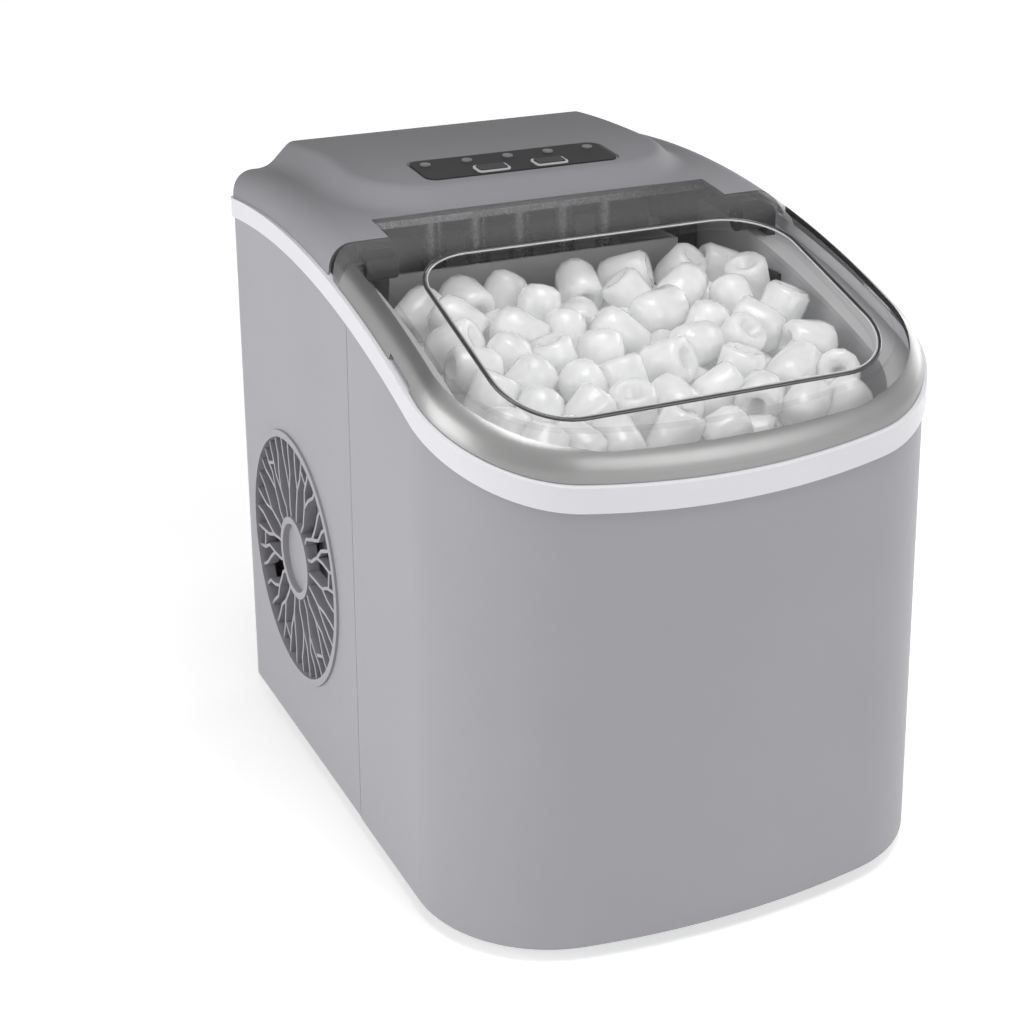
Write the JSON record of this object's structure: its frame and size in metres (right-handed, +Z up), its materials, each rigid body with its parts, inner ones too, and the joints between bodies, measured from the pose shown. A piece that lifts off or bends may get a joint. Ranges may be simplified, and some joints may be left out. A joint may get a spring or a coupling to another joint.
{
  "type": "ice maker",
  "caption": "Countertop ice maker with a smoked lift-up lid, a silver-rimmed top, a white trim band, a touch panel and a round branching side grille.",
  "frame": {"origin": "middle of the footprint on the surface that the feet stand on", "axes": "+Z up, front towards -Y, grille side towards -X"},
  "size_m": [0.251, 0.3339, 0.3064],
  "materials": {
    "silver_shell": "satin",
    "cover_grey": "satin",
    "white_trim": "gloss",
    "silver_rim": "metallic gloss",
    "smoked_clear": "clear",
    "panel_dark": "gloss",
    "button_dark": "satin",
    "button_line": "satin",
    "lens_clear": "frosted",
    "hinge_dark": "satin",
    "liner_white": "satin",
    "basket_grey": "satin",
    "foam_white": "matt",
    "inner_black": "matt",
    "foot_rubber": "matt",
    "board_green": "satin",
    "pan_metal": "satin",
    "pot_black": "satin",
    "fin_alu": "bright",
    "pipe_copper": "bright",
    "plated_steel": "bright"
  },
  "bodies": {
    "cabinet": {"front_shell": "silver_shell", "rear_shell": "silver_shell", "side_grille": "silver_shell", "trim_band": "white_trim", "top_cover": "cover_grey", "control_overlay": "panel_dark", "button_frames": "button_line", "led_lenses": "lens_clear", "control_board": "board_green", "hinge_brackets": "hinge_dark", "deck_frame": "liner_white", "tub_liner": "liner_white", "tub_foam": "foam_white", "evaporator_plate": "plated_steel", "evaporator_header": "plated_steel", "freezing_fingers": "plated_steel", "tray_ears": "hinge_dark", "tray_gearmotor": "inner_black", "ice_level_sensor": "inner_black", "water_level_float": "liner_white", "base_pan": "pan_metal", "rubber_feet": "foot_rubber", "compressor": "pot_black", "compressor_mounts": "foot_rubber", "condenser_fins": "fin_alu", "condenser_coil": "pipe_copper", "condenser_cage": "pan_metal", "fan_duct": "inner_black", "fan_motor": "inner_black", "water_pump": "inner_black", "pump_hoses": "lens_clear", "discharge_line": "pipe_copper", "suction_line": "pipe_copper", "liquid_line": "pipe_copper", "drier_line": "pipe_copper", "filter_drier": "pipe_copper", "drain_spout": "liner_white", "cord_gland": "inner_black", "case_screws": "plated_steel"},
    "lid": {"lid_rim": "silver_rim", "lid_window": "smoked_clear", "hinge_barrels": "hinge_dark", "hinge_pins": "plated_steel"},
    "basket": {"ice_basket": "basket_grey"},
    "fan": {"fan_blades": "inner_black"},
    "tray": {"water_tray": "liner_white"},
    "shovel": {"ice_shovel": "liner_white"},
    "power_key": {"power_button": "button_dark"},
    "select_key": {"select_button": "button_dark"},
    "drain": {"drain_plug": "hinge_dark"}
  },
  "joints": [
    {"name": "lid_hinge", "type": "hinge", "parent": "cabinet", "child": "lid", "pos_m": [0, 0, 0.27922], "axis": [-1, 0, 0], "range_deg": [0, 70]},
    {"name": "basket_lift", "type": "slide", "parent": "cabinet", "child": "basket", "axis": [0, 0, 1], "range_m": [0, 0.008]},
    {"name": "fan_spin", "type": "hinge", "parent": "cabinet", "child": "fan", "pos_m": [-0.083, 0.071, 0.111], "axis": [1, 0, 0], "continuous": true},
    {"name": "tray_tilt", "type": "hinge", "parent": "cabinet", "child": "tray", "pos_m": [0, 0.07, 0.2622], "axis": [1, 0, 0], "range_deg": [0, 40]},
    {"name": "shovel_push", "type": "slide", "parent": "cabinet", "child": "shovel", "axis": [0, -1, 0], "range_m": [0, 0.06]},
    {"name": "power_press", "type": "slide", "parent": "cabinet", "child": "power_key", "axis": [0, 0.087, -0.9962], "range_m": [0, 0.0008], "stiffness_N_per_m": 200},
    {"name": "select_press", "type": "slide", "parent": "cabinet", "child": "select_key", "axis": [0, 0.087, -0.9962], "range_m": [0, 0.0008], "stiffness_N_per_m": 200},
    {"name": "drain_pull", "type": "slide", "parent": "cabinet", "child": "drain", "axis": [1, 0, 0], "range_m": [0, 0.02]}
  ]
}
